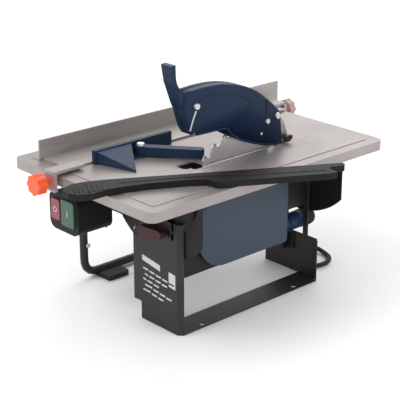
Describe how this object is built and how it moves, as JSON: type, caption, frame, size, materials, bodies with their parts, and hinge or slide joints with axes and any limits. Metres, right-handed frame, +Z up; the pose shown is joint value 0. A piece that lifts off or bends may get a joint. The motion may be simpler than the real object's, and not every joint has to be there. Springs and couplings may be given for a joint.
{
  "type": "table saw",
  "caption": "Small benchtop table saw with a tilting table, raised blade guard, rip fence, mitre gauge, push stick and folded steel stand.",
  "frame": {"origin": "middle of the footprint on the ground, measured without the free mains lead", "axes": "+X to the operator's right, +Y the way the work is fed, +Z up"},
  "size_m": [0.4581, 0.6022, 0.411],
  "materials": {
    "table_sheet": "satin galvanised sheet",
    "frame_paint": "satin black powder coat",
    "guard_blue": "smooth moulded plastic",
    "cover_blue": "satin blue paint",
    "gauge_blue": "moulded plastic",
    "black_plastic": "textured moulded plastic",
    "rubber": "matt rubber",
    "steel": "bright steel",
    "fence_aluminium": "anodised extrusion",
    "orange_plastic": "moulded plastic",
    "red_plastic": "moulded plastic",
    "green_plastic": "moulded plastic",
    "winding": "enamelled copper wire"
  },
  "bodies": {
    "chassis": {"front_leg_panel": "frame_paint", "rear_leg_panel": "frame_paint", "base_rail": "frame_paint", "front_brace": "frame_paint", "motor_plate": "frame_paint", "side_plate": "frame_paint", "blade_housing": "frame_paint", "side_cover": "cover_blue", "dust_port": "cover_blue", "dust_adapter": "rubber", "motor_housing": "frame_paint", "motor_end_shield": "fence_aluminium", "motor_fan_cover": "black_plastic", "motor_stator": "winding", "bearing_front": "steel", "bearing_rear": "steel", "riving_knife": "steel", "knife_bracket": "frame_paint", "knife_bolt_upper": "steel", "knife_bolt_lower": "steel", "front_guide_bolt": "steel", "switch_box": "black_plastic", "switch_bracket": "frame_paint", "left_leg": "frame_paint", "front_foot_pad": "rubber", "rear_foot_pad": "rubber", "cord_gland": "rubber", "mains_cord": "rubber", "cord_coil": "rubber", "mains_plug": "rubber"},
    "table": {"table_top": "table_sheet", "table_insert": "table_sheet", "front_quadrant": "frame_paint", "rear_quadrant": "frame_paint"},
    "fence": {"fence_rail": "fence_aluminium", "fence_front_clamp": "black_plastic", "fence_rear_clamp": "black_plastic"},
    "front_fence_knob": {"fence_front_knob": "orange_plastic"},
    "rear_fence_knob": {"fence_rear_knob": "orange_plastic"},
    "gauge": {"gauge_head": "gauge_blue", "gauge_screw": "steel"},
    "gauge_arm": {"gauge_bar": "gauge_blue"},
    "pushing_stick": {"push_stick": "black_plastic"},
    "arbor": {"arbor_shaft": "steel", "inner_flange": "steel", "outer_flange": "steel", "arbor_nut": "steel", "saw_blade": "steel", "motor_rotor": "steel", "motor_fan": "black_plastic"},
    "guard": {"guard_right": "guard_blue", "guard_left": "guard_blue", "guard_horn": "guard_blue", "guard_pivot_bolt": "steel", "guard_rear_bolt": "steel", "guard_front_bolt": "steel"},
    "stop": {"stop_button": "red_plastic"},
    "start": {"start_button": "green_plastic"},
    "front_tilt_clamp": {"front_tilt_lever": "red_plastic"},
    "rear_tilt_clamp": {"rear_tilt_knob": "black_plastic"}
  },
  "joints": [
    {"name": "table_tilt", "type": "hinge", "parent": "chassis", "child": "table", "pos_m": [0.0277, 0.00215, 0.24], "axis": [0, 1, 0], "range_deg": [0, 45]},
    {"name": "fence_slide", "type": "slide", "parent": "table", "child": "fence", "axis": [-1, 0, 0], "range_m": [0, 0.03]},
    {"name": "fence_front_knob_turn", "type": "hinge", "parent": "fence", "child": "front_fence_knob", "pos_m": [-0.0923, -0.28185, 0.232], "axis": [0, 1, 0], "range_deg": [-360, 360]},
    {"name": "fence_rear_knob_turn", "type": "hinge", "parent": "fence", "child": "rear_fence_knob", "pos_m": [-0.1243, 0.28715, 0.232], "axis": [0, 1, 0], "range_deg": [-360, 360]},
    {"name": "gauge_slide", "type": "slide", "parent": "table", "child": "gauge", "axis": [0, 1, 0], "range_m": [-0.02, 0.025]},
    {"name": "gauge_swing", "type": "hinge", "parent": "gauge", "child": "gauge_arm", "pos_m": [-0.0743, -0.09685, 0.243], "axis": [0, 0, 1], "range_deg": [0, 40]},
    {"name": "push_stick_lift", "type": "slide", "parent": "table", "child": "pushing_stick", "axis": [0, 0, 1], "range_m": [0, 0.12]},
    {"name": "blade_spin", "type": "hinge", "parent": "chassis", "child": "arbor", "pos_m": [0.0277, 0.01515, 0.185], "axis": [1, 0, 0], "continuous": true},
    {"name": "guard_lift", "type": "hinge", "parent": "chassis", "child": "guard", "pos_m": [0.0277, 0.08715, 0.294], "axis": [-1, 0, 0], "range_deg": [0, 60]},
    {"name": "stop_press", "type": "slide", "parent": "chassis", "child": "stop", "axis": [0, 1, 0], "range_m": [0, 0.003], "stiffness_N_per_m": 500, "springref_m": -0.001},
    {"name": "start_press", "type": "slide", "parent": "chassis", "child": "start", "axis": [0, 1, 0], "range_m": [0, 0.003], "stiffness_N_per_m": 500, "springref_m": -0.001},
    {"name": "front_lever_turn", "type": "hinge", "parent": "chassis", "child": "front_tilt_clamp", "pos_m": [0.0137, -0.16485, 0.1582], "axis": [0, 1, 0], "range_deg": [-60, 60]},
    {"name": "rear_knob_turn", "type": "hinge", "parent": "chassis", "child": "rear_tilt_clamp", "pos_m": [0.0482, 0.17415, 0.1837], "axis": [0, 1, 0], "range_deg": [-360, 360]}
  ]
}
